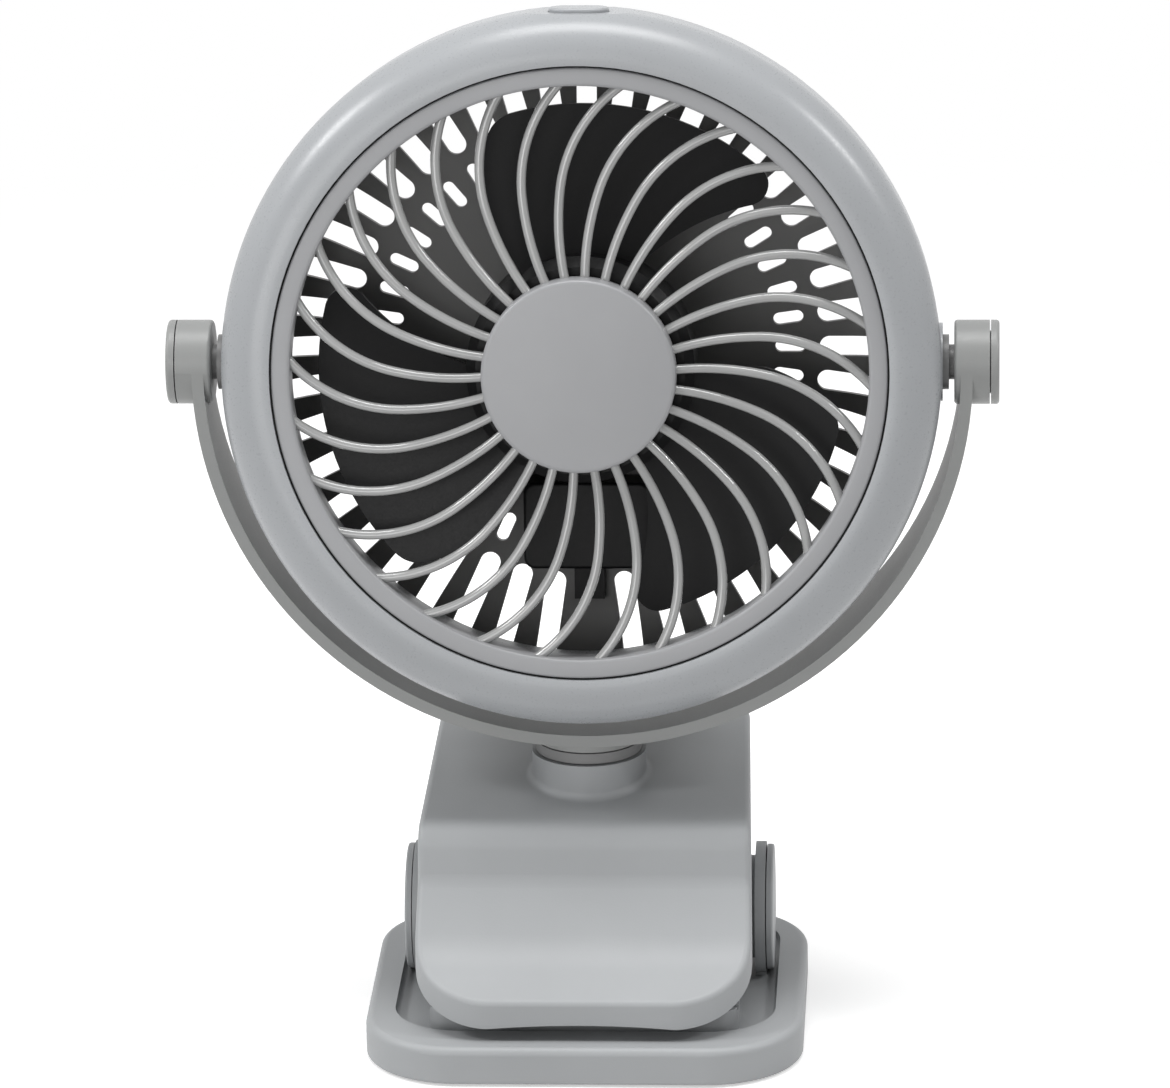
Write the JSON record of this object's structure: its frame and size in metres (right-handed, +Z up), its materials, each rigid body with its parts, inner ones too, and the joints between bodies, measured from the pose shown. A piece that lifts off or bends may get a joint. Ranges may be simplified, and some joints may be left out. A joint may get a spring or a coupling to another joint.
{
  "type": "clip fan",
  "caption": "Round battery fan with swirled grille ribs, tilting in a half-round yoke that swivels on a wide spring clip; the clip's lower jaw is the base.",
  "frame": {"origin": "middle of the base's underside, on the bottom cover's face; the rubber feet stand 0.5 mm below it", "axes": "+X to the right of someone facing the fan, -Y towards them, +Z up"},
  "size_m": [0.1738, 0.089, 0.2174],
  "materials": {
    "grey_plastic": "satin",
    "dark_grey_plastic": "satin",
    "rear_plastic": "matte",
    "black_plastic": "matte",
    "black_rubber": "matte",
    "grey_rubber": "matte",
    "steel": "zinc plated",
    "nickel": "nickel plated",
    "brass": "satin",
    "motor_metal": "plain",
    "cell_sleeve": "plastic film over a metal can",
    "green_board": "satin"
  },
  "bodies": {
    "base": {"base_shell": "grey_plastic", "bottom_cover": "grey_plastic", "bottom_screws": "steel", "rubber_feet": "black_rubber", "lower_pad": "grey_plastic", "hinge_tube": "grey_plastic", "battery_cell": "cell_sleeve", "battery_contacts": "nickel", "hinge_cap_left": "grey_plastic", "hinge_cap_right": "grey_plastic", "clip_spring": "steel"},
    "jaw": {"upper_jaw": "grey_plastic", "jaw_pad": "grey_rubber"},
    "yoke": {"yoke": "grey_plastic", "yoke_cap_left": "grey_plastic", "yoke_cap_right": "grey_plastic", "neck_pivot": "dark_grey_plastic", "neck_washer": "steel", "neck_screw": "steel"},
    "head": {"ring_housing": "grey_plastic", "front_grille": "grey_plastic", "rear_cover": "rear_plastic", "tilt_pin_left": "dark_grey_plastic", "tilt_pin_right": "dark_grey_plastic", "tilt_washers": "steel", "tilt_screws": "steel", "motor_can": "motor_metal", "motor_bell": "steel", "motor_mount": "steel", "motor_screws": "steel", "control_board": "green_board", "board_cover": "black_plastic", "charge_port": "nickel", "power_switch": "black_plastic"},
    "fan": {"motor_shaft": "steel", "propeller": "black_plastic", "propeller_nut": "brass"},
    "button": {"power_button": "grey_plastic"}
  },
  "joints": [
    {"name": "clip_open", "type": "hinge", "parent": "base", "child": "jaw", "pos_m": [0, 0.012, 0.0195], "axis": [-1, 0, 0], "range_deg": [0, 30], "stiffness_Nm_per_rad": 2, "springref_deg": -28.65, "deforming": ["clip_spring"]},
    {"name": "yoke_swivel", "type": "hinge", "parent": "jaw", "child": "yoke", "pos_m": [0, 0.012, 0.0554], "axis": [0, 0, 1], "range_deg": [-175, 175]},
    {"name": "head_tilt", "type": "hinge", "parent": "yoke", "child": "head", "pos_m": [0, 0.012, 0.141], "axis": [-1, 0, 0], "range_deg": [-98, 82]},
    {"name": "fan_spin", "type": "hinge", "parent": "head", "child": "fan", "pos_m": [0, 0.012, 0.141], "axis": [0, -0.9903, 0.1392], "continuous": true},
    {"name": "button_press", "type": "slide", "parent": "head", "child": "button", "axis": [0, -0.1392, -0.9903], "range_m": [0, 0.0005], "stiffness_N_per_m": 1500, "springref_m": -0.0003}
  ]
}
